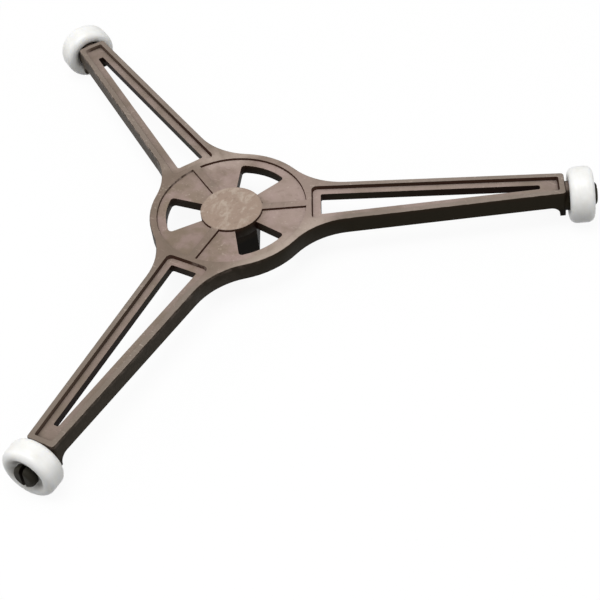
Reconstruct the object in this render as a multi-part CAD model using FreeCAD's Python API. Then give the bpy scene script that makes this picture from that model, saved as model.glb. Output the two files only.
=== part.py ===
"""Three-armed roller support that turns under a microwave oven's glass tray.

One moulded spider carries a roller on a snap-in stub axle at the end of each arm. All sizes are in
millimetres. +Z is up, the first arm lies along +X, and the origin is on the hub axis at the mouth of
the drive socket.
"""
import FreeCAD
import Part

import math
import os

from FreeCAD import Vector

# Hub, where a slope is how far a recess wall leans in from its top edge to its foot
ARM_COUNT = 3
HUB_RADIUS = 26.5
HUB_FILLET = 23.0
HUB_RECESS_RADIUS = 24.2
HUB_RECESS_DEPTH = 0.7
HUB_RECESS_SLOPE = 0.2
DISC_RADIUS = 10.0
SPOKE_WIDTH = 2.6
WINDOW_OUTER_RADIUS = 21.3
WINDOW_HALF_ANGLE = 22.3
WINDOW_CORNER = 1.2

# Arms, with half widths measured at the hub axis and at the arm's end
ARM_END = 106.2
ARM_ROOT_HALF_WIDTH = 10.8
ARM_TIP_HALF_WIDTH = 4.8
ARM_TIP_CORNER = 1.0
ARM_RECESS_START = 25.8
ARM_RECESS_DEPTH = 1.1
ARM_RECESS_SLOPE = 0.4
ARM_RECESS_CORNER = 1.6
RIM_WIDTH = 1.8
SLOT_START = 28.7
SLOT_END = 98.4
SLOT_ROOT_HALF_WIDTH = 4.65
SLOT_TIP_HALF_WIDTH = 0.9
SLOT_CORNER = 0.6

# Moulded section, with depths below the top face
SKIRT_DEPTH = 6.0
SKIRT_WALL = 1.9
HUB_WEB_DEPTH = 3.95
ARM_WEB_DEPTH = 3.8
TOP_EDGE_ROUND = 0.4

# Arm end: a plate that reaches below the skirts, which flare into it
END_PLATE_THICKNESS = 1.8
END_PLATE_DEPTH = 10.15
END_PLATE_CORNER = 1.0
FLARE_RADIUS = 3.0

# Rollers and their axles
ROLLER_DIAMETER = 18.0
ROLLER_WIDTH = 7.9
ROLLER_GAP = 1.1
ROLLER_RIM_ROUND = 2.2
DISH_DIAMETER = 13.0
DISH_DEPTH = 1.6
INNER_SEAT_DIAMETER = 9.9
OUTER_SEAT_DIAMETER = 8.8
AXLE_DROP = 5.55
AXLE_DIAMETER = 5.4
AXLE_RUNNING_CLEARANCE = 0.08
AXLE_END_CLEARANCE = 0.2
COLLAR_CLEARANCE = 0.3
BARB_LIP = 1.1
BARB_NOSE_ROUND = 1.4
BARB_STANDOUT = 1.2
SPLIT_WIDTH = 1.3

# Drive boss below the hub disc, with a D-shaped blind socket for a motor shaft
BOSS_SET_BACK = 0.3
BOSS_CORNER_ANGLE = 22.5
BOSS_FLOOR_CLEARANCE = 0.8
SHAFT_DIAMETER = 7.0
SHAFT_FLAT_HEIGHT = 5.6
SHAFT_CLEARANCE = 0.1
SOCKET_ROOF = 3.75
RIB_THICKNESS = 1.8

# Levels that follow from the sizes above
Z_AXLE = ROLLER_DIAMETER / 2 - BOSS_FLOOR_CLEARANCE
Z_TOP = Z_AXLE + AXLE_DROP
Z_HUB_WEB = Z_TOP - HUB_WEB_DEPTH
Z_ARM_WEB = Z_TOP - ARM_WEB_DEPTH
Z_SKIRT = Z_TOP - SKIRT_DEPTH
Z_PLATE = Z_TOP - END_PLATE_DEPTH
ROLLER_INNER = ARM_END + ROLLER_GAP
ROLLER_OUTER = ROLLER_INNER + ROLLER_WIDTH
PLATE_INNER = ARM_END - END_PLATE_THICKNESS
BORE_RADIUS = AXLE_DIAMETER / 2 + AXLE_RUNNING_CLEARANCE

UP = Vector(0, 0, 1)
RADIAL = Vector(1, 0, 0)
ORIGIN = Vector(0, 0, 0)
ARM_STEP = 360.0 / ARM_COUNT
ARM_TAPER = math.atan2(ARM_ROOT_HALF_WIDTH - ARM_TIP_HALF_WIDTH, ARM_END)


def arm_half_width(radius):
    """Half width of an arm's outline at a distance from the hub axis."""
    return ARM_ROOT_HALF_WIDTH - radius * math.tan(ARM_TAPER)


def at_arm(shape, index):
    """Copy of a shape made along +X, turned to the arm of that index."""
    turned = shape.copy()
    turned.rotate(ORIGIN, UP, index * ARM_STEP)
    return turned


def at_all_arms(shape):
    """Copies of a shape made along +X, one at each arm."""
    return [at_arm(shape, index) for index in range(ARM_COUNT)]


def corner_arc(before, corner, after, radius):
    """Start, middle and end points of the arc that rounds a corner between two straight sides."""
    to_before = (before - corner).normalize()
    to_after = (after - corner).normalize()
    half_angle = to_before.getAngle(to_after) / 2
    inward = (to_before + to_after).normalize()
    reach = radius / math.tan(half_angle)
    depth = radius / math.sin(half_angle) - radius
    return corner + to_before * reach, corner + inward * depth, corner + to_after * reach


def rounded_face(corners):
    """Planar face from (point, corner radius) pairs in order; a radius of 0 leaves a corner sharp."""
    edges = []
    starts = []
    ends = []
    for index, (point, radius) in enumerate(corners):
        if radius == 0:
            starts.append(point)
            ends.append(point)
            continue
        before = corners[index - 1][0]
        after = corners[(index + 1) % len(corners)][0]
        start, middle, end = corner_arc(before, point, after, radius)
        edges.append(Part.Arc(start, middle, end).toShape())
        starts.append(start)
        ends.append(end)
    for index, end in enumerate(ends):
        edges.append(Part.makeLine(end, starts[(index + 1) % len(starts)]))
    return Part.Face(Part.Wire(Part.__sortEdges__(edges)))


def tapered_face(start, end, start_half, end_half, start_corner, end_corner, z):
    """Trapezium along +X at height z, with rounded corners."""
    return rounded_face([
        (Vector(start, -start_half, z), start_corner),
        (Vector(end, -end_half, z), end_corner),
        (Vector(end, end_half, z), end_corner),
        (Vector(start, start_half, z), start_corner),
    ])


def spider_face(inset, end, tip_corner, z):
    """Plan of the hub and arms, drawn inset from the outer outline, with the arms cut off at a radius."""
    normal = Vector(math.sin(ARM_TAPER), math.cos(ARM_TAPER), 0)
    along = Vector(math.cos(ARM_TAPER), -math.sin(ARM_TAPER), 0)
    side_distance = ARM_ROOT_HALF_WIDTH * math.cos(ARM_TAPER) + HUB_FILLET
    centre_distance = HUB_RADIUS + HUB_FILLET
    run = math.sqrt(centre_distance ** 2 - side_distance ** 2)
    centre = normal * side_distance + along * run
    fillet = HUB_FILLET + inset
    on_side = centre - normal * fillet
    on_hub = centre * ((HUB_RADIUS - inset) / centre_distance)
    to_middle = ((on_side - centre) + (on_hub - centre)).normalize()
    on_fillet = centre + to_middle * fillet
    half = arm_half_width(end) - inset / math.cos(ARM_TAPER)
    tip = Vector(end, half, 0)
    into_side, on_tip, into_end = corner_arc(on_side, tip, Vector(end, 0, 0), tip_corner)

    def mirrored(point):
        return Vector(point.x, -point.y, 0)

    half_step = math.radians(ARM_STEP / 2)
    between_arms = Vector(math.cos(half_step), math.sin(half_step), 0) * (HUB_RADIUS - inset)
    next_arm = FreeCAD.Rotation(UP, ARM_STEP)
    one_arm = Part.Compound([
        Part.makeLine(mirrored(into_end), into_end),
        Part.Arc(into_end, on_tip, into_side).toShape(),
        Part.Arc(mirrored(into_end), mirrored(on_tip), mirrored(into_side)).toShape(),
        Part.makeLine(into_side, on_side),
        Part.makeLine(mirrored(into_side), mirrored(on_side)),
        Part.Arc(on_side, on_fillet, on_hub).toShape(),
        Part.Arc(mirrored(on_side), mirrored(on_fillet), mirrored(on_hub)).toShape(),
        Part.Arc(on_hub, between_arms, next_arm.multVec(mirrored(on_hub))).toShape(),
    ])
    edges = [edge for arm in at_all_arms(one_arm) for edge in arm.Edges]
    face = Part.Face(Part.Wire(Part.__sortEdges__(edges)))
    face.translate(UP * z)
    return face


def down(face, depth):
    """Solid from a level face, extruded downwards."""
    return face.extrude(UP * -depth)


def spider_plate():
    """Web with a skirt round its edge and a ring wall under the hub, rounded along the top edge."""
    block = down(spider_face(0, ARM_END, ARM_TIP_CORNER, Z_TOP), SKIRT_DEPTH)
    top_edges = [edge for edge in block.Edges if edge.BoundBox.ZMin > Z_TOP - TOP_EDGE_ROUND]
    block = block.makeFillet(TOP_EDGE_ROUND, top_edges)
    hollow_corner = ARM_TIP_CORNER / 2
    hollow = down(spider_face(SKIRT_WALL, PLATE_INNER, hollow_corner, Z_ARM_WEB), SKIRT_DEPTH)
    below_arms = Vector(0, 0, Z_ARM_WEB)
    arm_hollows = hollow.cut(Part.makeCylinder(HUB_RADIUS, SKIRT_DEPTH, below_arms, -UP))
    below_hub = Vector(0, 0, Z_HUB_WEB)
    hub_hollow = Part.makeCylinder(HUB_RADIUS - SKIRT_WALL, SKIRT_DEPTH, below_hub, -UP)
    return block.cut([arm_hollows, hub_hollow])


def end_plate():
    """Plate across the arm's end, with two rounded lower corners."""
    half = arm_half_width(PLATE_INNER)
    profile = rounded_face([
        (Vector(PLATE_INNER, -half, Z_SKIRT), 0),
        (Vector(PLATE_INNER, -half, Z_PLATE), END_PLATE_CORNER),
        (Vector(PLATE_INNER, half, Z_PLATE), END_PLATE_CORNER),
        (Vector(PLATE_INNER, half, Z_SKIRT), 0),
    ])
    return profile.extrude(RADIAL * END_PLATE_THICKNESS)


def skirt_flares():
    """Concave gussets that carry both skirts down into the end plate."""
    outer = arm_half_width(PLATE_INNER - FLARE_RADIUS)
    inner = arm_half_width(PLATE_INNER) - SKIRT_WALL
    start = Vector(PLATE_INNER - FLARE_RADIUS, inner, Z_SKIRT)
    corner = Vector(PLATE_INNER, inner, Z_SKIRT)
    foot = Vector(PLATE_INNER, inner, Z_SKIRT - FLARE_RADIUS)
    half_turn = FLARE_RADIUS * math.sqrt(0.5)
    middle = Vector(start.x + half_turn, inner, foot.z + half_turn)
    profile = Part.Face(Part.Wire([
        Part.makeLine(corner, start),
        Part.Arc(start, middle, foot).toShape(),
        Part.makeLine(foot, corner),
    ]))
    flare = profile.extrude(Vector(0, outer - inner, 0))
    return [flare, flare.mirror(ORIGIN, Vector(0, 1, 0))]


def arm_end():
    """End plate and gussets below the skirts, trimmed to the arm's tapered and rounded outline."""
    outline = down(spider_face(0, ARM_END, ARM_TIP_CORNER, Z_SKIRT), Z_SKIRT - Z_PLATE)
    return [piece.common(outline) for piece in [end_plate()] + skirt_flares()]


def turned_on_axle(corners):
    """Solid turned about an arm's axle from ((radius from the hub axis, radius of turning), corner) pairs."""
    profile = rounded_face([(Vector(x, 0, Z_AXLE + r), corner) for (x, r), corner in corners])
    return profile.revolve(Vector(0, 0, Z_AXLE), RADIAL, 360)


def stub_axle():
    """Collar, shaft and barbed nose, split lengthways into two springy prongs."""
    shaft = AXLE_DIAMETER / 2
    collar = INNER_SEAT_DIAMETER / 2 - COLLAR_CLEARANCE
    barb = shaft + BARB_LIP
    collar_end = ROLLER_INNER + DISH_DEPTH - AXLE_END_CLEARANCE
    barb_start = ROLLER_OUTER - DISH_DEPTH + AXLE_END_CLEARANCE
    nose = ROLLER_OUTER + BARB_STANDOUT
    turned = turned_on_axle([
        ((PLATE_INNER, 0), 0),
        ((PLATE_INNER, shaft), 0),
        ((ARM_END - END_PLATE_THICKNESS / 2, shaft), 0),
        ((ARM_END - END_PLATE_THICKNESS / 2, collar), 0),
        ((collar_end, collar), 0),
        ((collar_end, shaft), 0),
        ((barb_start, shaft), 0),
        ((barb_start, barb), 0),
        ((nose, barb), BARB_NOSE_ROUND),
        ((nose, 0), 0),
    ])
    split_length = nose - collar_end
    split_corner = Vector(collar_end, -SPLIT_WIDTH / 2, Z_AXLE - barb)
    split = Part.makeBox(split_length, SPLIT_WIDTH, 2 * barb, split_corner)
    return turned.cut(split)


def roller():
    """Roller with rounded rims and a conical dish in each face, down to a seat for the collar or the barb."""
    tread = ROLLER_DIAMETER / 2
    dish = DISH_DIAMETER / 2
    inner_seat = ROLLER_INNER + DISH_DEPTH
    outer_seat = ROLLER_OUTER - DISH_DEPTH
    return turned_on_axle([
        ((inner_seat, BORE_RADIUS), 0),
        ((inner_seat, INNER_SEAT_DIAMETER / 2), 0),
        ((ROLLER_INNER, dish), 0),
        ((ROLLER_INNER, tread), ROLLER_RIM_ROUND),
        ((ROLLER_OUTER, tread), ROLLER_RIM_ROUND),
        ((ROLLER_OUTER, dish), 0),
        ((outer_seat, OUTER_SEAT_DIAMETER / 2), 0),
        ((outer_seat, BORE_RADIUS), 0),
    ])


def arm_recess_outline(inset, z):
    """Outline of an arm's recess at height z, drawn inset from its top edge."""
    start = ARM_RECESS_START + inset
    end = ARM_END - RIM_WIDTH - inset
    rim = (RIM_WIDTH + inset) / math.cos(ARM_TAPER)
    return tapered_face(
        start, end, arm_half_width(start) - rim, arm_half_width(end) - rim,
        ARM_RECESS_CORNER, ARM_TIP_CORNER / 2, z,
    ).OuterWire


def arm_cuts():
    """Shallow recess with sloping walls in an arm's top face, and the long tapered slot through its floor."""
    top = arm_recess_outline(0, Z_TOP)
    floor = arm_recess_outline(ARM_RECESS_SLOPE, Z_TOP - ARM_RECESS_DEPTH)
    recess = Part.makeLoft([top, floor], True, True)
    slot = tapered_face(
        SLOT_START, SLOT_END, SLOT_ROOT_HALF_WIDTH, SLOT_TIP_HALF_WIDTH,
        SLOT_CORNER, SLOT_CORNER, Z_TOP,
    )
    return [recess, down(slot, ARM_WEB_DEPTH)]


def hub_recess():
    """Shallow ring sunk into the hub's top face, which leaves the disc and a spoke to each arm standing."""
    floor = Z_TOP - HUB_RECESS_DEPTH
    base = Vector(0, 0, floor)
    ring = Part.makeCone(HUB_RECESS_RADIUS - HUB_RECESS_SLOPE, HUB_RECESS_RADIUS, HUB_RECESS_DEPTH, base)
    disc = Part.makeCone(DISC_RADIUS + HUB_RECESS_SLOPE, DISC_RADIUS, HUB_RECESS_DEPTH, base)
    top_half = SPOKE_WIDTH / 2
    foot_half = top_half + HUB_RECESS_SLOPE
    section = rounded_face([
        (Vector(0, -foot_half, floor), 0),
        (Vector(0, foot_half, floor), 0),
        (Vector(0, top_half, Z_TOP), 0),
        (Vector(0, -top_half, Z_TOP), 0),
    ])
    spoke = section.extrude(RADIAL * HUB_RECESS_RADIUS)
    return ring.cut([disc] + at_all_arms(spoke))


def hub_window():
    """Opening through the hub's web, midway between the first two arms."""
    sweep = 2 * WINDOW_HALF_ANGLE
    base = Vector(0, 0, Z_HUB_WEB)
    outer = Part.makeCylinder(WINDOW_OUTER_RADIUS, HUB_WEB_DEPTH, base, UP, sweep)
    inner = Part.makeCylinder(DISC_RADIUS, HUB_WEB_DEPTH, base, UP, sweep)
    sector = outer.cut(inner)
    upright = [edge for edge in sector.Edges if edge.BoundBox.ZLength > HUB_WEB_DEPTH / 2]
    middle = (DISC_RADIUS + WINDOW_OUTER_RADIUS) / 2
    outer_corners = [edge for edge in upright if edge.CenterOfMass.distanceToLine(ORIGIN, UP) > middle]
    sector = sector.makeFillet(WINDOW_CORNER, outer_corners)
    sector.rotate(ORIGIN, UP, ARM_STEP / 2 - WINDOW_HALF_ANGLE)
    return sector


def drive_boss():
    """Boss with a narrow side under each window, and a rib to the ring wall under each spoke."""
    reach = DISC_RADIUS - BOSS_SET_BACK
    corners = []
    for index in range(ARM_COUNT):
        window = (index + 0.5) * ARM_STEP
        for side in (-BOSS_CORNER_ANGLE, BOSS_CORNER_ANGLE):
            angle = math.radians(window + side)
            corners.append((Vector(math.cos(angle), math.sin(angle), 0) * reach, 0))
    boss = rounded_face(corners).extrude(UP * Z_HUB_WEB)
    rib_corner = Vector(0, -RIB_THICKNESS / 2, Z_SKIRT)
    rib_end = HUB_RADIUS - SKIRT_WALL / 2
    rib = Part.makeBox(rib_end, RIB_THICKNESS, Z_HUB_WEB - Z_SKIRT, rib_corner)
    return boss.fuse(at_all_arms(rib))


def drive_socket():
    """Blind D-shaped socket that slips over the motor shaft, with its flat towards +Y."""
    radius = SHAFT_DIAMETER / 2 + SHAFT_CLEARANCE
    flat = SHAFT_FLAT_HEIGHT - SHAFT_DIAMETER / 2 + SHAFT_CLEARANCE
    depth = Z_TOP - SOCKET_ROOF
    round_socket = Part.makeCylinder(radius, depth)
    beyond_flat = Part.makeBox(2 * radius, radius, depth, Vector(-radius, flat, 0))
    return round_socket.cut(beyond_flat)


def support_spider():
    """The whole moulding: plate, drive boss, arm ends and stub axles, less its recesses and openings."""
    additions = [drive_boss()]
    for piece in [stub_axle()] + arm_end():
        additions += at_all_arms(piece)
    openings = [hub_recess(), drive_socket()]
    for opening in [hub_window()] + arm_cuts():
        openings += at_all_arms(opening)
    return spider_plate().fuse(additions).cut(openings).removeSplitter()


def main():
    """Write one STEP file for the spider and one for each roller."""
    os.makedirs("parts", exist_ok=True)
    support_spider().exportStep("parts/support_spider.step")
    for index, piece in enumerate(at_all_arms(roller())):
        piece.exportStep(f"parts/roller_{index + 1}.step")


main()
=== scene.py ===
"""Looks of a three-armed roller support for a microwave oven's turntable.

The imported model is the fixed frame, in metres. The moulded spider is a merged copy of its solid with
softened edges. Each roller is a surface of revolution worked out with numpy from its node's box. Finishes
are procedural, and the studio repeats the photograph's viewing angle.
"""
from __future__ import annotations

import logging
import math
from dataclasses import dataclass
from enum import Enum
from typing import Mapping, Sequence, Union

import bmesh
import bpy
import numpy as np
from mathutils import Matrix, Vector

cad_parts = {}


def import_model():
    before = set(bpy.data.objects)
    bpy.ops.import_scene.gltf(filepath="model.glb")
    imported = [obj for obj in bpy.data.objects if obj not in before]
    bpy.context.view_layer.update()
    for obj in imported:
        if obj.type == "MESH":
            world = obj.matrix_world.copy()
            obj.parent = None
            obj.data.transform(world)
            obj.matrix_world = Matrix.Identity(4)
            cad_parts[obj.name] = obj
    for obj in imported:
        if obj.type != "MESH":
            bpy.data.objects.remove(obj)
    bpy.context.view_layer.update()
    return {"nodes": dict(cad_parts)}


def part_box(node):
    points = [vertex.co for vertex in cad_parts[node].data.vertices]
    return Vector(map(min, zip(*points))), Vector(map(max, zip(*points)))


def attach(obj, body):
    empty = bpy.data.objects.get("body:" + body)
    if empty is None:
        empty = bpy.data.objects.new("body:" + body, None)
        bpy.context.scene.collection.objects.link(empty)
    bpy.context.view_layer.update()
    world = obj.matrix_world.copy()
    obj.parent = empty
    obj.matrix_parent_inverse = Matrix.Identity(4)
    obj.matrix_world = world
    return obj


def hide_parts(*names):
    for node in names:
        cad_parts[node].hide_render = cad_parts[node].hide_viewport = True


LOG = logging.getLogger("roller_support")
MM = 0.001
ARM_COUNT = 3
ARM_STEP = 2 * math.pi / ARM_COUNT

Colour = tuple[float, float, float]
Span = tuple[float, float]
Operand = Union["Signal", float, Sequence[float]]
WHITE = (1.0, 1.0, 1.0, 1.0)
LATHE_MAP = "lathe"
NOISE_MIDDLE = 0.5
CORNER_SAMPLES = 8
# Sockets of a Mix node that mixes colours: share, first and second colour, and the result
MIX_INPUTS = (0, 6, 7)
MIX_OUTPUT = 2


class Spot(Enum):
    """Named values that a mesh carries for its finish."""

    UPWARD = "upward"
    DOWNWARD = "downward"
    RUNNING = "running"
    HOLLOW = "hollow"


class Slot(Enum):
    """Names for the spider's and the rollers' material slots, which this script does not use."""

    SPIDER = "spider"
    ROLLER = "roller"


@dataclass(frozen=True)
class Pattern:
    """Fractal noise: its largest features, its finer layers and, for a mark, the values it fades in over.

    The place that it is read at is turned about Z, by degrees, then measured along each axis in units of
    the stretch and shifted. Lengths are in the unit of that place, which is a millimetre on a piece.
    """

    size: float
    detail: float
    rough: float
    fade: Span | None = None
    twist: float = 0.0
    turn: float = 0.0
    stretch: tuple[float, float, float] = (1.0, 1.0, 1.0)
    shift: float = 0.0


def linear(colour: Colour) -> tuple[float, float, float, float]:
    """Scene-linear colour with alpha, from a display colour.

    Args:
        colour: Red, green and blue as seen on a display, each from 0 to 1.

    Returns:
        The same colour by the sRGB curve, with an alpha of 1.
    """
    shown = np.asarray(colour, float)
    low = shown / 12.92
    high = ((shown + 0.055) / 1.055) ** 2.4
    return (*np.where(shown <= 0.04045, low, high).tolist(), 1.0)


def unit(vectors: np.ndarray) -> np.ndarray:
    """The same rows of vectors, each with a length of 1."""
    return vectors / np.linalg.norm(vectors, axis=-1, keepdims=True)


def smooth_step(values: np.ndarray, low: float, high: float) -> np.ndarray:
    """Cubic step of values from 0 at low to 1 at high."""
    share = np.clip((values - low) / (high - low), 0.0, 1.0)
    return share * share * (3.0 - 2.0 * share)


class Signal:
    """A node's output that takes part in Python expressions, where each operation adds a Math node."""

    def __init__(self, graph: "NodeGraph", socket: bpy.types.NodeSocket) -> None:
        """Keep the socket and the graph that new nodes go into."""
        self.graph = graph
        self.socket = socket

    def _math(self, operation: str, first: Operand, second: Operand) -> "Signal":
        """Add one Math node.

        Args:
            operation: The Math node's operation.
            first: Its first value.
            second: Its second value.

        Returns:
            The node's result.
        """
        return self.graph.node("ShaderNodeMath", {"operation": operation}, {0: first, 1: second})

    def __add__(self, other: Operand) -> "Signal":
        """Sum."""
        return self._math("ADD", self, other)

    def __radd__(self, other: Operand) -> "Signal":
        """Sum, reflected."""
        return self._math("ADD", other, self)

    def __sub__(self, other: Operand) -> "Signal":
        """Difference."""
        return self._math("SUBTRACT", self, other)

    def __rsub__(self, other: Operand) -> "Signal":
        """Difference, reflected."""
        return self._math("SUBTRACT", other, self)

    def __mul__(self, other: Operand) -> "Signal":
        """Product."""
        return self._math("MULTIPLY", self, other)

    def __rmul__(self, other: Operand) -> "Signal":
        """Product, reflected."""
        return self._math("MULTIPLY", other, self)

    def step(self, low: float, high: float) -> "Signal":
        """Smooth step of the value.

        Args:
            low: The value at which the step starts, as 0.
            high: The value at which it ends, as 1; it may be the lower of the two.

        Returns:
            The step, from 0 to 1.
        """
        settings = {"interpolation_type": "SMOOTHSTEP", "clamp": True}
        inputs = {"Value": self, "From Min": low, "From Max": high}
        return self.graph.node("ShaderNodeMapRange", settings, inputs)

    def between(self, start: float, end: float) -> "Signal":
        """Value that runs from start to end as this one goes from 0 to 1."""
        return start + (end - start) * self


class NodeGraph:
    """A shader's node tree, with one general way to add a node."""

    def __init__(self, tree: bpy.types.NodeTree) -> None:
        """Take a tree and empty it."""
        self.tree = tree
        self.tree.nodes.clear()

    def feed(self, socket: bpy.types.NodeSocket, value: Operand) -> None:
        """Link a signal to a socket, or set the socket to a plain value.

        Args:
            socket: The input socket.
            value: The signal or the value.
        """
        if isinstance(value, Signal):
            self.tree.links.new(value.socket, socket)
        else:
            socket.default_value = value

    def node(
        self,
        kind: str,
        settings: Mapping[str, object] | None = None,
        inputs: Mapping[int | str, Operand] | None = None,
        output: int | str = 0,
    ) -> Signal:
        """Add a node, set it up and feed its sockets.

        Args:
            kind: The node's type, such as ShaderNodeMath.
            settings: The node's own properties, which are set first.
            inputs: Values or signals for its sockets, by name or by number.
            output: The output that is wanted, by name or by number.

        Returns:
            That output as a signal.
        """
        node = self.tree.nodes.new(kind)
        for name, value in (settings or {}).items():
            setattr(node, name, value)
        for key, value in (inputs or {}).items():
            self.feed(node.inputs[key], value)
        return Signal(self, node.outputs[output])

    def seen_directly(self) -> Signal:
        """Test for rays from the camera and rays that a reflection or a clear material sends on.

        Returns:
            1 for such rays, else 0.
        """
        kinds = ("Is Camera Ray", "Is Glossy Ray", "Is Transmission Ray")
        camera, glossy, clear = (self.node("ShaderNodeLightPath", output=kind) for kind in kinds)
        return (camera + glossy + clear).step(0.0, 1.0)

    def close(self, shader: Signal, kind: str) -> None:
        """Link a shader to the tree's output, which is a node of the given type."""
        ending = self.tree.nodes.new(kind)
        self.feed(ending.inputs["Surface"], shader)


class FinishGraph(NodeGraph):
    """The node tree of one material."""

    def __init__(self, name: str) -> None:
        """Start a material with an empty tree.

        Args:
            name: The material's name.
        """
        self.material = bpy.data.materials.new(name)
        self.material.use_nodes = True
        super().__init__(self.material.node_tree)

    def attribute(self, spot: Spot) -> Signal:
        """One of the values that the mesh carries."""
        return self.node("ShaderNodeAttribute", {"attribute_name": spot.value}, output="Fac")

    def place(self) -> Signal:
        """The point's place on the piece, in millimetres."""
        point = self.node("ShaderNodeTexCoord", output="Object")
        return self.node("ShaderNodeVectorMath", {"operation": "SCALE"}, {0: point, "Scale": 1 / MM})

    def part(self, place: Signal, axis: str) -> Signal:
        """One coordinate of a place, by its axis's letter."""
        return self.node("ShaderNodeSeparateXYZ", {}, {0: place}, axis)

    def from_axis(self, place: Signal) -> Signal:
        """Distance of a place from the hub axis.

        Args:
            place: The place.

        Returns:
            Its distance, in the same unit.
        """
        inputs = {0: place, 1: (1.0, 1.0, 0.0)}
        level = self.node("ShaderNodeVectorMath", {"operation": "MULTIPLY"}, inputs)
        return self.node("ShaderNodeVectorMath", {"operation": "LENGTH"}, {0: level}, "Value")

    def turned(self, place: Signal, turn: float) -> Signal:
        """A place turned about Z, by an angle in degrees."""
        inputs = {"Vector": place, "Angle": math.radians(turn)}
        return self.node("ShaderNodeVectorRotate", {"rotation_type": "Z_AXIS"}, inputs)

    def pattern(self, place: Signal, kind: Pattern) -> Signal:
        """Fractal noise over a place.

        Args:
            place: Where the noise is read.
            kind: The pattern.

        Returns:
            The noise, around 0.5, or for a mark how far it has faded in, from 0 to 1.
        """
        scale = [1 / length for length in kind.stretch]
        inputs = {"Vector": self.turned(place, kind.turn), "Location": (kind.shift,) * 3, "Scale": scale}
        mapped = self.node("ShaderNodeMapping", {"vector_type": "POINT"}, inputs)
        layers = {"Detail": kind.detail, "Roughness": kind.rough, "Distortion": kind.twist}
        inputs = {"Vector": mapped, "Scale": 1 / kind.size, **layers}
        noise = self.node("ShaderNodeTexNoise", {"noise_dimensions": "3D"}, inputs, "Fac")
        return noise.step(*kind.fade) if kind.fade else noise

    def mixed(self, factor: Operand, first: Operand, second: Operand) -> Signal:
        """Mix of two colours.

        Args:
            factor: The share of the second colour.
            first: The first colour, as a signal or as shown on a display.
            second: The second colour, likewise.

        Returns:
            The mixed colour.
        """
        first = first if isinstance(first, Signal) else linear(first)
        second = second if isinstance(second, Signal) else linear(second)
        inputs = dict(zip(MIX_INPUTS, (factor, first, second)))
        return self.node("ShaderNodeMix", {"data_type": "RGBA"}, inputs, MIX_OUTPUT)

    def crevice(self, reach: float) -> Signal:
        """How closely walls of the same piece stand round a point.

        Args:
            reach: How far away a wall counts, in millimetres.

        Returns:
            0 in the open and towards 1 in a corner.
        """
        settings = {"samples": CORNER_SAMPLES, "only_local": True}
        return 1.0 - self.node("ShaderNodeAmbientOcclusion", settings, {"Distance": reach * MM}, "AO")

    def bump(self, height: Signal, depth: float) -> Signal:
        """Normal of a surface with small relief.

        Args:
            height: The relief, from 0 to 1.
            depth: How high 1 stands, in millimetres.

        Returns:
            The bumped normal.
        """
        inputs = {"Strength": 1.0, "Distance": depth * MM, "Height": height}
        return self.node("ShaderNodeBump", {}, inputs, "Normal")

    def finish(self, shader: Signal) -> bpy.types.Material:
        """Close the tree with a shader and return the material."""
        self.close(shader, "ShaderNodeOutputMaterial")
        return self.material

    def plastic(self, inputs: Mapping[str, Operand]) -> bpy.types.Material:
        """Close the tree with a plastic's shader.

        Args:
            inputs: Values or signals for the shader's sockets.

        Returns:
            The finished material.
        """
        return self.finish(self.node("ShaderNodeBsdfPrincipled", {}, inputs))


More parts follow.
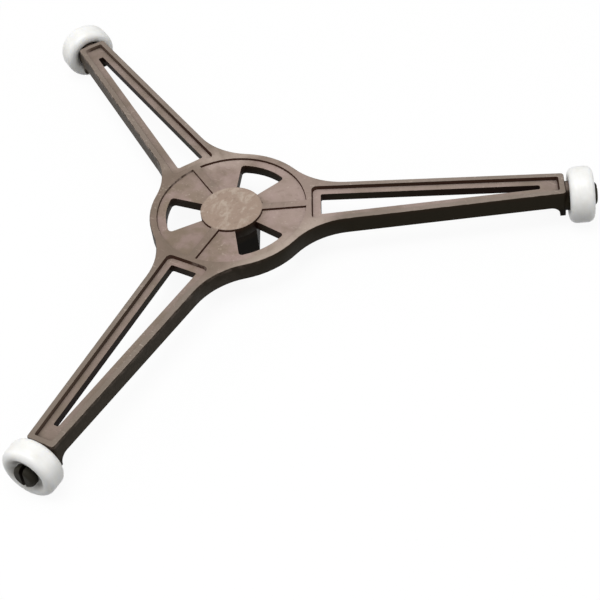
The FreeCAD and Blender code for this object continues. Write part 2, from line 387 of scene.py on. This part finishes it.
@dataclass(frozen=True)
class MouldedBrown:
    """Taupe-brown moulded plastic: a pale skin on faces that look up and dark smooth walls elsewhere,
    partly a textured top against smooth walls and partly painted sheen on the upward faces and painted
    shade on the walls.

    Colours are as shown on a display, lengths are in millimetres and turns in degrees. A span gives where
    something starts and where it is complete, or a share in one place and in another.
    """

    # Height of the top face
    top: float
    # Colours of the skin
    floor_mauve: Colour = (0.645, 0.562, 0.533)
    floor_olive: Colour = (0.558, 0.494, 0.435)
    rim_grey: Colour = (0.525, 0.470, 0.420)
    rim_warm: Colour = (0.570, 0.500, 0.456)
    arm_grey: Colour = (0.560, 0.520, 0.483)
    # Faded tone, also the colour of the painted shade on the left side
    faded_and_shade: Colour = (0.450, 0.396, 0.346)
    # Pale colour of the painted sheen over one side of the faces that look up
    painted_sheen: Colour = (0.690, 0.612, 0.582)
    disc_base: Colour = (0.652, 0.571, 0.512)
    disc_smear: Colour = (0.775, 0.716, 0.656)
    # Pale scuffs and wear, also the colour of the painted highlight along top edges
    scuff_and_highlight: Colour = (0.760, 0.700, 0.650)
    # Dark grime for the grain, also the colour of the painted shade at the foot of the walls
    grime_and_shade: Colour = (0.110, 0.080, 0.065)
    # Colours of the walls and the underside; the walls' near-black tone is partly painted shade
    wall: Colour = (0.134, 0.117, 0.080)
    wall_drag: Colour = (0.178, 0.158, 0.116)
    # Painted shade on enclosed walls: darker and redder
    wall_inner_shade: Colour = (0.130, 0.068, 0.042)
    wall_lip: Colour = (0.235, 0.148, 0.113)
    lip_soft: Colour = (0.345, 0.285, 0.245)
    # Dust and painted light on one side of some arms
    wall_dust_and_light: Colour = (0.355, 0.318, 0.282)
    lip_dust_and_light: Colour = (0.580, 0.520, 0.480)
    # Near-black painted shade deep round the boss and on enclosed parts of the stub axles
    boss_shade: Colour = (0.060, 0.048, 0.026)
    # Dark grey-brown of the stub axles: painted shade on the same brown plastic
    axle: Colour = (0.190, 0.180, 0.155)
    under: Colour = (0.340, 0.295, 0.255)
    # Patterns
    grain: Pattern = Pattern(0.32, 2.0, 0.6)
    patches: Pattern = Pattern(7.0, 3.0, 0.55, (0.36, 0.64))
    clouds: Pattern = Pattern(19.0, 4.0, 0.6, twist=0.5, shift=40.0)
    smears: Pattern = Pattern(3.0, 5.0, 0.65, (0.45, 0.66), twist=0.4, turn=25.0, stretch=(1.0, 1.7, 1.0))
    specks: Pattern = Pattern(0.9, 2.0, 0.5, (0.62, 0.74))
    stains: Pattern = Pattern(1.9, 3.0, 0.65, (0.54, 0.70), shift=70.0)
    long_rubs: Pattern = Pattern(1.0, 3.0, 0.55, (0.62, 0.74), turn=32.0, stretch=(5.0, 0.7, 1.0))
    short_rubs: Pattern = Pattern(
        1.0, 3.0, 0.55, (0.64, 0.76), turn=-71.0, stretch=(3.5, 0.6, 1.0), shift=9.0
    )
    rubbed: Pattern = Pattern(12.0, 2.0, 0.5, (0.44, 0.62))
    drag: Pattern = Pattern(1.0, 3.0, 0.6, stretch=(1.6, 1.6, 14.0))
    wall_clouds: Pattern = Pattern(9.0, 4.0, 0.6)
    flakes: Pattern = Pattern(2.2, 4.0, 0.65, (0.40, 0.62))
    breaks: Pattern = Pattern(3.0, 3.0, 0.6, (0.38, 0.66))
    # Values of the clouds over which they let other marks through
    faded_clouds: Span = (0.62, 0.36)
    sheen_clouds: Span = (0.25, 0.60)
    worn_clouds: Span = (0.25, 0.55)
    speck_clouds: Span = (0.36, 0.60)
    dust_and_light_clouds: Span = (0.20, 0.50)
    # Distances from the hub axis
    disc_edge: Span = (10.4, 9.4)
    rim_inside: Span = (18.2, 20.8)
    rim_outside: Span = (35.0, 27.0)
    shade_reach: Span = (46.0, 26.0)
    on_arms: Span = (26.0, 38.0)
    # Radii over which the painted foot shade grows
    foot_shade_zone: Span = (26.0, 31.0)
    outward: Span = (52.0, 106.0)
    prong: Span = (110.0, 111.0)
    # Depths below the top face
    raised: Span = (0.45, 0.10)
    edge: Span = (0.8, 0.3)
    lip: Span = (1.68, 0.72)
    # Depths over which the painted boss shade takes over
    below: Span = (6.0, 7.8)
    # Places along X, for some after a turn about the hub axis
    left_side: Span = (-2.0, -20.0)
    soft_side: Span = (-16.0, -30.0)
    sheen_turn: float = -36.0
    sheen_side: Span = (-12.0, 16.0)
    worn_side: Span = (18.0, 26.0)
    along_arm: Span = (10.4, 26.0)
    across_arm: Span = (0.5, 2.5)
    # Turns and shares of the worn stretches of the hub's rim and of the arms with dust and painted light
    # on one side
    worn_rims: tuple[Span, ...] = ((53.0, 0.65), (-92.0, 0.65))
    dusty_and_lit_arms: tuple[Span, ...] = ((-120.0, 0.80), (-240.0, 0.30))
    # Corners: how far away a wall counts, and how enclosed a point has to be
    foot_reach: float = 2.0
    foot_fade: Span = (0.12, 0.36)
    inner_reach: float = 8.0
    inner_fade: Span = (0.03, 0.30)
    # Shares on floors and on rims
    arm_grey_share: Span = (0.40, 0.75)
    sheen_rims: Span = (1.0, 0.55)
    shade_hub: Span = (0.06, 0.34)
    # Shares on the hub and on the arms
    sheen_share: Span = (0.75, 0.35)
    shade_root: Span = (1.0, 0.5)
    foot_share: Span = (0.12, 0.60)
    # Shares in the open and in corners, and between flakes and on them
    lip_share: Span = (0.2, 1.0)
    flake_share: Span = (0.55, 1.0)
    # Other shares
    sheen_loss: float = 0.25
    shade_arms: float = 0.20
    faded_share: float = 0.28
    disc_share: float = 0.85
    smear_share: float = 0.80
    stain_share: float = 0.22
    rub_share: float = 0.60
    speck_share: float = 0.50
    edge_share: float = 0.70
    drag_share: float = 0.50
    grain_share: float = 0.14
    # Roughness of walls and of skin, shine and relief
    rough: Span = (0.50, 0.62)
    rub_polish: float = 0.14
    rough_spread: float = 0.10
    shine: float = 0.05
    relief: float = 0.010
    rub_relief: float = 0.5

    def material(self) -> bpy.types.Material:
        """Build the material.

        Returns:
            A plastic whose colour, roughness and relief change over the surface.
        """
        graph = FinishGraph("moulded_brown")
        place = graph.place()
        upward = graph.attribute(Spot.UPWARD)
        grain = graph.pattern(place, self.grain)
        rubs = self.rub_marks(graph, place)
        # Faces that look up take the pale skin and others the dark walls: partly texture, partly painted
        # sheen and painted shade by facing
        colour = graph.mixed(upward, self.wall_colour(graph, place), self.skin(graph, place, rubs))
        # Painted highlight with wear along the top edges
        colour = graph.mixed(self.edge_wear_and_highlight(graph, place, upward), colour, self.scuff_and_highlight)
        colour = graph.mixed(self.grain_share * grain, colour, self.grime_and_shade)
        # Painted shade at the foot of the recess walls
        colour = graph.mixed(self.painted_foot_shade(graph, place), colour, self.grime_and_shade)
        rough = upward.between(*self.rough) - self.rub_polish * rubs
        return graph.plastic({
            "Base Color": colour,
            "Roughness": rough + self.rough_spread * (grain - NOISE_MIDDLE),
            "Specular IOR Level": self.shine,
            "Normal": graph.bump(grain + self.rub_relief * rubs, self.relief),
        })

    def depth(self, graph: FinishGraph, place: Signal) -> Signal:
        """Depth of a place below the top face."""
        return self.top - graph.part(place, "Z")

    def skin(self, graph: FinishGraph, place: Signal, rubs: Signal) -> Signal:
        """Colour of the faces that look up.

        Args:
            graph: The material's graph.
            place: The place on the piece, in millimetres.
            rubs: The strength of the rub marks.

        Returns:
            Mottled recess floors, greyer rims and arms, a painted sheen on one side, painted shade on the
            left side, worn stretches of the hub's rim, a smeared disc in its middle, and small marks over
            all.
        """
        radius = graph.from_axis(place)
        raised = self.depth(graph, place).step(*self.raised)
        on_arms = radius.step(*self.on_arms)
        clouds = graph.pattern(place, self.clouds)
        patches = graph.pattern(place, self.patches)
        floor = graph.mixed(patches, self.floor_olive, self.floor_mauve)
        colour = graph.mixed(raised, floor, graph.mixed(patches, self.rim_grey, self.rim_warm))
        colour = graph.mixed(on_arms * raised.between(*self.arm_grey_share), colour, self.arm_grey)
        colour = graph.mixed(self.faded_share * clouds.step(*self.faded_clouds), colour, self.faded_and_shade)
        # Painted sheen: a pale wash on one side of the hub and arms, fading towards the arm ends
        sheened = on_arms.between(*self.sheen_share) - self.sheen_loss * radius.step(*self.outward)
        sheened = sheened * raised.between(*self.sheen_rims) * clouds.step(*self.sheen_clouds)
        sheen_side = graph.part(graph.turned(place, self.sheen_turn), "X").step(*self.sheen_side)
        colour = graph.mixed(sheened * sheen_side, colour, self.painted_sheen)
        # Painted shade on the left side of the hub and arms
        shade = raised.between(*self.shade_hub) * on_arms.between(*self.shade_root)
        shade = shade * radius.step(*self.shade_reach) + self.shade_arms * on_arms
        left = graph.part(place, "X").step(*self.left_side)
        colour = graph.mixed(left * shade, colour, self.faded_and_shade)
        rim_band = radius.step(*self.rim_outside) * radius.step(*self.rim_inside)
        for turn, share in self.worn_rims:
            corner = graph.part(graph.turned(place, turn), "X").step(*self.worn_side)
            worn = share * corner * rim_band * clouds.step(*self.worn_clouds)
            colour = graph.mixed(worn, colour, self.scuff_and_highlight)
        smeared = self.smear_share * graph.pattern(place, self.smears)
        disc = graph.mixed(smeared, self.disc_base, self.disc_smear)
        colour = graph.mixed(self.disc_share * radius.step(*self.disc_edge) * raised, colour, disc)
        colour = graph.mixed(self.stain_share * graph.pattern(place, self.stains), colour, self.faded_and_shade)
        specks = graph.pattern(place, self.specks) * clouds.step(*self.speck_clouds)
        return graph.mixed(self.rub_share * rubs + self.speck_share * specks, colour, self.scuff_and_highlight)

    def wall_colour(self, graph: FinishGraph, place: Signal) -> Signal:
        """Colour of walls, of the underside and of the stub axles.

        Args:
            graph: The material's graph.
            place: The place on the piece, in millimetres.

        Returns:
            Near-black brown, partly painted shade, with faint upright drag marks; painted shade that is
            darker and redder on enclosed walls; redder just under the top face; near-black painted shade
            deep round the boss; brown below; dust and painted light along one side of some arms; and
            painted shade on the stub axles.
        """
        clouds = graph.pattern(place, self.wall_clouds)
        depth = self.depth(graph, place)
        lip = depth.step(*self.lip)
        inner = graph.crevice(self.inner_reach).step(*self.inner_fade)
        dragged = self.drag_share * (graph.pattern(place, self.drag) + clouds)
        colour = graph.mixed(dragged, self.wall, self.wall_drag)
        # Painted shade, darker and redder, on enclosed walls
        colour = graph.mixed(inner, colour, self.wall_inner_shade)
        soft = graph.part(place, "X").step(*self.soft_side)
        lip_colour = graph.mixed(soft, self.wall_lip, self.lip_soft)
        colour = graph.mixed(lip * inner.between(*self.lip_share), colour, lip_colour)
        # Near-black painted shade deep round the boss
        colour = graph.mixed(depth.step(*self.below), colour, self.boss_shade)
        colour = graph.mixed(graph.attribute(Spot.DOWNWARD), colour, self.under)
        flakes = graph.pattern(place, self.flakes)
        powder_and_light = graph.mixed(lip * flakes, self.wall_dust_and_light, self.lip_dust_and_light)
        dust_and_light = clouds.step(*self.dust_and_light_clouds) * flakes.between(*self.flake_share)
        # Dust and painted light along one side of some arms
        for turn, share in self.dusty_and_lit_arms:
            colour = graph.mixed(share * dust_and_light * self.near_side(graph, place, turn), colour, powder_and_light)
        # Stub axles in painted shade, near black where enclosed
        prong = graph.mixed(inner, self.axle, self.boss_shade)
        return graph.mixed(graph.from_axis(place).step(*self.prong), colour, prong)

    def near_side(self, graph: FinishGraph, place: Signal, turn: float) -> Signal:
        """One side of one arm: steps along the arm and across its middle line.

        Args:
            graph: The material's graph.
            place: The place on the piece, in millimetres.
            turn: The turn about the hub that brings the arm to +X, in degrees.

        Returns:
            1 on the side towards +Y after that turn, else 0.
        """
        on_arm = graph.turned(place, turn)
        along = graph.part(on_arm, "X").step(*self.along_arm)
        return along * graph.part(on_arm, "Y").step(*self.across_arm)

    def painted_foot_shade(self, graph: FinishGraph, place: Signal) -> Signal:
        """Painted shade at the foot of the recess walls: tight corners, mostly on the arms and off the
        sides with dust and painted light.

        Args:
            graph: The material's graph.
            place: The place on the piece, in millimetres.

        Returns:
            The strength of the painted shade, from 0 to 1.
        """
        foot_shade_zone = graph.from_axis(place).step(*self.foot_shade_zone)
        for turn, _ in self.dusty_and_lit_arms:
            foot_shade_zone = foot_shade_zone * (1.0 - self.near_side(graph, place, turn))
        return graph.crevice(self.foot_reach).step(*self.foot_fade) * foot_shade_zone.between(*self.foot_share)

    def rub_marks(self, graph: FinishGraph, place: Signal) -> Signal:
        """Short pale rub marks: narrow noise, drawn out along two directions, where it is strongest.

        Args:
            graph: The material's graph.
            place: The place on the piece, in millimetres.

        Returns:
            The strength of the marks, from 0 to 1.
        """
        marks = graph.pattern(place, self.long_rubs) + graph.pattern(place, self.short_rubs)
        return marks * graph.pattern(place, self.rubbed)

    def edge_wear_and_highlight(self, graph: FinishGraph, place: Signal, upward: Signal) -> Signal:
        """Painted highlight with wear, a paler line where a top edge turns over: strongest half way
        between looking up and sideways.

        Args:
            graph: The material's graph.
            place: The place on the piece, in millimetres.
            upward: How far the surface looks up.

        Returns:
            The strength of the painted highlight and wear, from 0 to 1.
        """
        turning = 4.0 * upward * (1.0 - upward)
        near_top = self.depth(graph, place).step(*self.edge)
        return self.edge_share * turning * near_top * graph.pattern(place, self.breaks)


@dataclass(frozen=True)
class RollerWhite:
    """Smooth white moulded plastic, with faint grey running marks round the tread, and grime with painted
    shade in the dishes.

    Colours are as shown on a display, and lengths are in millimetres.
    """

    # Colours
    fresh: Colour = (0.965, 0.965, 0.957)
    mellow: Colour = (0.945, 0.942, 0.927)
    running: Colour = (0.820, 0.810, 0.790)
    # Grey of the grime and painted shade in the dishes
    grime_and_shade: Colour = (0.470, 0.445, 0.400)
    # Patterns, the first in turns and shares of the lathe's map
    streaks: Pattern = Pattern(1.0, 4.0, 0.6, (0.50, 0.78), stretch=(0.16, 0.012, 1.0))
    clouds: Pattern = Pattern(3.5, 3.0, 0.55)
    specks: Pattern = Pattern(0.5, 2.0, 0.5, (0.66, 0.76))
    mellow_clouds: Span = (0.35, 0.70)
    grime_shade_clouds: Span = (0.30, 0.70)
    # Shares
    streak_share: float = 0.20
    speck_share: float = 0.12
    grime_shade_share: float = 0.72
    grime_shade_spread: Span = (0.55, 1.0)
    # Roughness, scattering below the surface, and relief
    rough: float = 0.32
    streak_rough: float = 0.14
    dirt_rough: float = 0.20
    rough_spread: float = 0.08
    scatter_share: float = 0.5
    scatter_tint: Colour = (1.0, 0.95, 0.85)
    scatter_reach: float = 2.2
    relief: float = 0.006
    streak_relief: float = 0.4

    def material(self) -> bpy.types.Material:
        """Build the material.

        Returns:
            A white plastic with soft variation, running marks, and grime with painted shade in the dishes.
        """
        graph = FinishGraph("roller_white")
        place = graph.place()
        around = graph.node("ShaderNodeUVMap", {"uv_map": LATHE_MAP})
        clouds = graph.pattern(place, self.clouds)
        specks = graph.pattern(place, self.specks)
        marks = graph.pattern(around, self.streaks) * graph.attribute(Spot.RUNNING)
        colour = graph.mixed(clouds.step(*self.mellow_clouds), self.fresh, self.mellow)
        colour = graph.mixed(self.streak_share * marks + self.speck_share * specks, colour, self.running)
        # Grime with painted shade in the dishes, deepest at the seats
        spread = clouds.step(*self.grime_shade_clouds).between(*self.grime_shade_spread)
        grime_shade = graph.attribute(Spot.HOLLOW) * spread
        colour = graph.mixed(self.grime_shade_share * grime_shade, colour, self.grime_and_shade)
        rough = self.rough + self.streak_rough * marks + self.dirt_rough * grime_shade
        return graph.plastic({
            "Base Color": colour,
            "Roughness": rough + self.rough_spread * (clouds - NOISE_MIDDLE),
            "Subsurface Weight": self.scatter_share,
            "Subsurface Radius": self.scatter_tint,
            "Subsurface Scale": self.scatter_reach * MM,
            "Normal": graph.bump(clouds + self.streak_relief * marks, self.relief),
        })


@dataclass(frozen=True)
class PaleFloor:
    """White floor that keeps a faint shadow for the camera and returns some light to the object."""

    shown: Colour = (0.985, 0.985, 0.985)
    bounce: Colour = (0.450, 0.450, 0.450)
    glow_share: float = 0.925

    def material(self) -> bpy.types.Material:
        """Build the material.

        Returns:
            A floor that is white to the camera and in reflections, and grey to diffuse light.
        """
        graph = FinishGraph("pale_floor")
        matt = graph.node("ShaderNodeBsdfDiffuse", {}, {"Color": linear(self.shown)})
        glow = graph.node("ShaderNodeEmission", {}, {"Color": WHITE, "Strength": 1.0})
        white = graph.node("ShaderNodeMixShader", {}, {0: self.glow_share, 1: matt, 2: glow})
        grey = graph.node("ShaderNodeBsdfDiffuse", {}, {"Color": linear(self.bounce)})
        floor = graph.node("ShaderNodeMixShader", {}, {0: graph.seen_directly(), 1: grey, 2: white})
        return graph.finish(floor)


def new_piece(name: str, mesh: bpy.types.Mesh) -> bpy.types.Object:
    """Object at the origin for a mesh, linked into the scene.

    Args:
        name: The piece's name.
        mesh: Its mesh, with its place in its vertices.

    Returns:
        The new object.
    """
    piece = bpy.data.objects.new(name, mesh)
    bpy.context.scene.collection.objects.link(piece)
    return piece


def carry(mesh: bpy.types.Mesh, spot: Spot, domain: str, values: np.ndarray) -> None:
    """Let a mesh carry a value for each of its corners or points."""
    layer = mesh.attributes.new(spot.value, "FLOAT", domain)
    layer.data.foreach_set("value", np.ascontiguousarray(values, np.float32))


def stand_in(piece: bpy.types.Object, node: str, body: str) -> bpy.types.Object:
    """Let a piece stand for a node of the frame.

    Args:
        piece: The finished piece.
        node: The node that it hides.
        body: The body that it moves with.

    Returns:
        The piece.
    """
    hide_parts(node)
    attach(piece, body)
    return piece


def closed_grid(name: str, points: np.ndarray) -> bpy.types.Mesh:
    """Mesh of a grid of points that closes on itself both ways, with a UV map of its two parameters.

    Args:
        name: The mesh's name.
        points: Places by row, column and axis.

    Returns:
        A smooth mesh with a face for every cell.
    """
    rows, columns = points.shape[:2]
    index = np.arange(rows * columns).reshape(rows, columns)
    beside = np.roll(index, -1, axis=1)
    faces = np.stack([index, beside, np.roll(beside, -1, axis=0), np.roll(index, -1, axis=0)], axis=2)
    row, column = np.meshgrid(np.arange(rows), np.arange(columns), indexing="ij")
    rings = np.stack([row, row, row + 1, row + 1], axis=2) / rows
    turns = np.stack([column, column + 1, column + 1, column], axis=2) / columns
    mesh = bpy.data.meshes.new(name)
    mesh.from_pydata(points.reshape(-1, 3), [], faces.reshape(-1, 4))
    mesh.polygons.foreach_set("use_smooth", np.ones(rows * columns, bool))
    layer = mesh.uv_layers.new(name=LATHE_MAP)
    layer.data.foreach_set("uv", np.stack([turns, rings], axis=3).reshape(-1).astype(np.float32))
    mesh.update()
    return mesh


@dataclass
class SpiderMoulding:
    """The brown moulding: hub, arms, end plates and stub axles in one piece.

    Lengths are in metres and angles in radians. Facing gives the normal's Z where a face starts to count
    as looking up or down, and where it does so fully.
    """

    node: bpy.types.Object
    edge_round: float = 0.15 * MM
    edge_steps: int = 2
    sharp_from: float = math.radians(28.0)
    merge_gap: float = 0.002 * MM
    flat_within: float = math.radians(0.3)
    facing: Span = (0.72, 0.96)
    skin_reach: float = 106.3 * MM

    def merged_copy(self) -> bpy.types.Mesh:
        """Copy of the node's mesh with its loose triangles joined.

        Returns:
            A closed mesh whose flat regions are single faces.
        """
        mesh = self.node.data.copy()
        mesh.name = "spider_moulding"
        shape = bmesh.new()
        shape.from_mesh(mesh)
        bmesh.ops.remove_doubles(shape, verts=shape.verts, dist=self.merge_gap)
        bmesh.ops.dissolve_limit(shape, angle_limit=self.flat_within, verts=shape.verts, edges=shape.edges)
        shape.to_mesh(mesh)
        shape.free()
        mesh.materials.clear()
        return mesh

    def build(self) -> bpy.types.Object:
        """Soften the copy's edges and dress it.

        Returns:
            The finished piece, riding on the spider's body.
        """
        piece = new_piece("spider_moulding", self.merged_copy())
        bevel = piece.modifiers.new("edge_round", "BEVEL")
        bevel.width = self.edge_round
        bevel.segments = self.edge_steps
        bevel.limit_method = "ANGLE"
        bevel.angle_limit = self.sharp_from
        bevel.use_clamp_overlap = True
        bevel.harden_normals = True
        view = bpy.context.evaluated_depsgraph_get()
        finished = bpy.data.meshes.new_from_object(piece.evaluated_get(view))
        piece.modifiers.clear()
        piece.data = finished
        self.mark_facing(finished)
        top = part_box("support_spider")[1].z / MM
        finished.materials.append(MouldedBrown(top).material())
        return stand_in(piece, "support_spider", "spider")

    def mark_facing(self, mesh: bpy.types.Mesh) -> None:
        """Let each corner carry how far it looks up and down.

        Each value is a step of the normal's Z, and looking up is 0 beyond the arm ends, so everything
        beyond them keeps the dark wall colours, which are painted shade there.

        Args:
            mesh: The finished mesh.
        """
        normals = np.empty(len(mesh.loops) * 3, np.float32)
        mesh.corner_normals.foreach_get("vector", normals)
        points = np.empty(len(mesh.vertices) * 3, np.float32)
        mesh.vertices.foreach_get("co", points)
        owners = np.empty(len(mesh.loops), np.int32)
        mesh.loops.foreach_get("vertex_index", owners)
        reach = np.hypot(points[0::3], points[1::3])[owners]
        looks_up = smooth_step(normals[2::3], *self.facing)
        carry(mesh, Spot.UPWARD, "CORNER", looks_up * (reach < self.skin_reach))
        carry(mesh, Spot.DOWNWARD, "CORNER", smooth_step(-normals[2::3], *self.facing))


@dataclass
class Roller:
    """One white roller: a profile of its half section, turned about the axle of its arm.

    Lengths are in metres. The inner and outer faces are places along the arm, and the dishes, seats and
    reaches of the grime and painted shade are radii about the axle.
    """

    index: int
    inner: float
    outer: float
    tread: float
    axle_height: float
    bore: float = 2.78 * MM
    rim_round: float = 2.2 * MM
    inner_lip: float = 1.3 * MM
    outer_lip: float = 0.7 * MM
    seat_round: float = 0.2 * MM
    inner_dish: float = 5.4 * MM
    outer_dish: float = 6.5 * MM
    dish_depth: float = 1.6 * MM
    inner_seat: float = 4.95 * MM
    outer_seat: float = 4.4 * MM
    inner_grime_shade: float = 0.55
    outer_grime_shade: float = 1.0
    inner_grime_shade_reach: float = 8.2 * MM
    outer_grime_shade_reach: float = 7.4 * MM
    running_drop: float = 0.55 * MM
    spacing: float = 0.22 * MM
    blend_points: int = 2
    arc_points: int = 25
    turns: int = 144

    def corners(self) -> np.ndarray:
        """Corners of the half section, in order round it.

        Returns:
            Rows of axial place, radius and rounding.
        """
        seat_in = self.inner + self.dish_depth
        seat_out = self.outer - self.dish_depth
        return np.array([
            (seat_in, self.bore, self.seat_round),
            (seat_in, self.inner_seat, self.seat_round),
            (self.inner, self.inner_dish, self.inner_lip),
            (self.inner, self.tread, self.rim_round),
            (self.outer, self.tread, self.rim_round),
            (self.outer, self.outer_dish, self.outer_lip),
            (seat_out, self.outer_seat, self.seat_round),
            (seat_out, self.bore, self.seat_round),
        ])

    def profile(self) -> np.ndarray:
        """Closed line of the half section: straight runs and corner arcs, at even spacing.

        Each corner's arc has its centre on the corner's bisector, at the rounding over the sine of half
        the corner's angle, and touches both sides. The arc's points are its two end radii, mixed by the
        sines of the angles that are left to each. Each point of the line is then the mean of itself and
        its neighbours on both sides, which lets one curve flow into the next.

        Returns:
            Rows of axial place and radius.
        """
        corners = self.corners()
        points, rounding = corners[:, :2], corners[:, 2:]
        back = unit(np.roll(points, 1, axis=0) - points)
        ahead = unit(np.roll(points, -1, axis=0) - points)
        half = np.arccos(np.clip((back * ahead).sum(1, keepdims=True), -1.0, 1.0)) / 2
        reach = rounding / np.tan(half)
        centre = points + unit(back + ahead) * rounding / np.sin(half)
        start = (points + back * reach - centre)[:, None]
        end = (points + ahead * reach - centre)[:, None]
        share = np.linspace(0.0, 1.0, self.arc_points)[None, :, None]
        sweep = math.pi - 2 * half[:, :, None]
        arcs = (np.sin((1 - share) * sweep) * start + np.sin(share * sweep) * end) / np.sin(sweep)
        line = (centre[:, None] + arcs).reshape(-1, 2)
        closed = np.vstack([line, line[:1]])
        along = np.concatenate([[0.0], np.cumsum(np.linalg.norm(np.diff(closed, axis=0), axis=1))])
        even = np.arange(0.0, along[-1], self.spacing)
        line = np.stack([np.interp(even, along, closed[:, axis]) for axis in (0, 1)], axis=1)
        shifts = range(-self.blend_points, self.blend_points + 1)
        return np.mean([np.roll(line, shift, axis=0) for shift in shifts], axis=0)

    def build(self, finish: bpy.types.Material) -> bpy.types.Object:
        """Turn the profile about the arm's axle and dress the surface.

        A point is the profile's axial place along the arm and its radius turned by the angle about the
        axle; the whole is then turned about the hub axis to its arm.

        Args:
            finish: The rollers' material.

        Returns:
            The finished piece, riding on its roller's body.
        """
        profile = self.profile()
        angle = np.linspace(0.0, 2 * math.pi, self.turns, endpoint=False)
        axial = np.repeat(profile[:, :1], self.turns, axis=1)
        side = profile[:, 1:] * np.cos(angle)
        rise = profile[:, 1:] * np.sin(angle) + self.axle_height
        turn = self.index * ARM_STEP
        x = axial * math.cos(turn) - side * math.sin(turn)
        y = axial * math.sin(turn) + side * math.cos(turn)
        body = f"roller_{self.index + 1}"
        mesh = closed_grid(f"{body}_white", np.stack([x, y, rise], axis=2))
        running = smooth_step(profile[:, 1], self.tread - self.running_drop, self.tread)
        # Grime with painted shade in the dishes, fading outwards from the seats
        near_grime_shade = self.inner_grime_shade * smooth_step(profile[:, 1], self.inner_grime_shade_reach, self.inner_seat)
        far_grime_shade = self.outer_grime_shade * smooth_step(profile[:, 1], self.outer_grime_shade_reach, self.outer_seat)
        hollow = np.where(profile[:, 0] < (self.inner + self.outer) / 2, near_grime_shade, far_grime_shade)
        carry(mesh, Spot.RUNNING, "POINT", np.repeat(running, self.turns))
        carry(mesh, Spot.HOLLOW, "POINT", np.repeat(hollow, self.turns))
        mesh.materials.append(finish)
        return stand_in(new_piece(f"{body}_white", mesh), body, body)


@dataclass(frozen=True)
class Softbox:
    """A square soft light that faces the hub, with lengths in metres and power in watts."""

    name: str
    place: tuple[float, float, float]
    size: float
    power: float

    def add(self) -> None:
        """Put the light into the scene."""
        lamp = bpy.data.lights.new(self.name, "AREA")
        lamp.size = self.size
        lamp.energy = self.power
        light = bpy.data.objects.new(self.name, lamp)
        light.location = self.place
        light.rotation_euler = (-Vector(self.place)).to_track_quat("-Z", "Y").to_euler()
        bpy.context.scene.collection.objects.link(light)


@dataclass
class Studio:
    """Floor, soft lights and camera, with lengths in metres and angles in degrees."""

    floor_height: float
    floor_size: float = 6.0
    camera_place: tuple[float, float, float] = (59.932 * MM, -411.399 * MM, 392.916 * MM)
    camera_turn: tuple[float, float, float] = (44.0171, 5.8602, -0.1549)
    lens: float = 105.213
    sensor: float = 36.0
    ambient: float = 0.28
    lights: tuple[Softbox, ...] = (
        Softbox("key_above", (-0.15, -0.12, 1.1), 0.8, 8.8),
        Softbox("left_strip", (-1.2, 0.10, 0.45), 0.8, 3.0),
        Softbox("right_strip", (1.2, -0.15, 0.5), 0.8, 3.2),
        Softbox("front_fill", (0.1, -1.0, 0.8), 0.9, 1.6),
    )

    def build(self) -> None:
        """Make the floor, the surround, the lights and the camera."""
        self.make_floor()
        self.make_surround()
        for light in self.lights:
            light.add()
        self.make_camera()

    def make_floor(self) -> None:
        """Plain pale floor under the rollers."""
        half = self.floor_size / 2
        sides = np.array([(-1, -1), (1, -1), (1, 1), (-1, 1)], float) * half
        mesh = bpy.data.meshes.new("floor")
        mesh.from_pydata(np.column_stack([sides, np.full(4, self.floor_height)]), [], [(0, 1, 2, 3)])
        mesh.materials.append(PaleFloor().material())
        new_piece("floor", mesh)

    def make_surround(self) -> None:
        """Grey surround for light on the object, and white for what is seen directly."""
        world = bpy.data.worlds.new("surround")
        world.use_nodes = True
        graph = NodeGraph(world.node_tree)
        level = self.ambient + (1.0 - self.ambient) * graph.seen_directly()
        shade = graph.node("ShaderNodeBackground", {}, {"Color": WHITE, "Strength": level})
        graph.close(shade, "ShaderNodeOutputWorld")
        bpy.context.scene.world = world

    def make_camera(self) -> None:
        """Camera at the photograph's viewing angle."""
        lens = bpy.data.cameras.new("camera")
        lens.lens = self.lens
        lens.sensor_width = self.sensor
        camera = bpy.data.objects.new("camera", lens)
        camera.location = self.camera_place
        camera.rotation_euler = [math.radians(angle) for angle in self.camera_turn]
        bpy.context.scene.collection.objects.link(camera)
        bpy.context.scene.camera = camera


def main() -> None:
    """Load the frame, build and dress every piece, and set up the studio."""
    logging.basicConfig(level=logging.INFO, format="%(name)s: %(message)s")
    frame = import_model()
    bpy.context.scene.view_settings.view_transform = "Standard"
    spider = SpiderMoulding(frame["nodes"]["support_spider"]).build()
    LOG.info("%s has %d faces", spider.name, len(spider.data.polygons))
    low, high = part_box("roller_1")
    tread = (high.z - low.z) / 2
    white = RollerWhite().material()
    for index in range(ARM_COUNT):
        roller = Roller(index, low.x, high.x, tread, low.z + tread).build(white)
        LOG.info("%s has %d faces", roller.name, len(roller.data.polygons))
    Studio(floor_height=low.z).build()


if __name__ == "__main__":
    main()
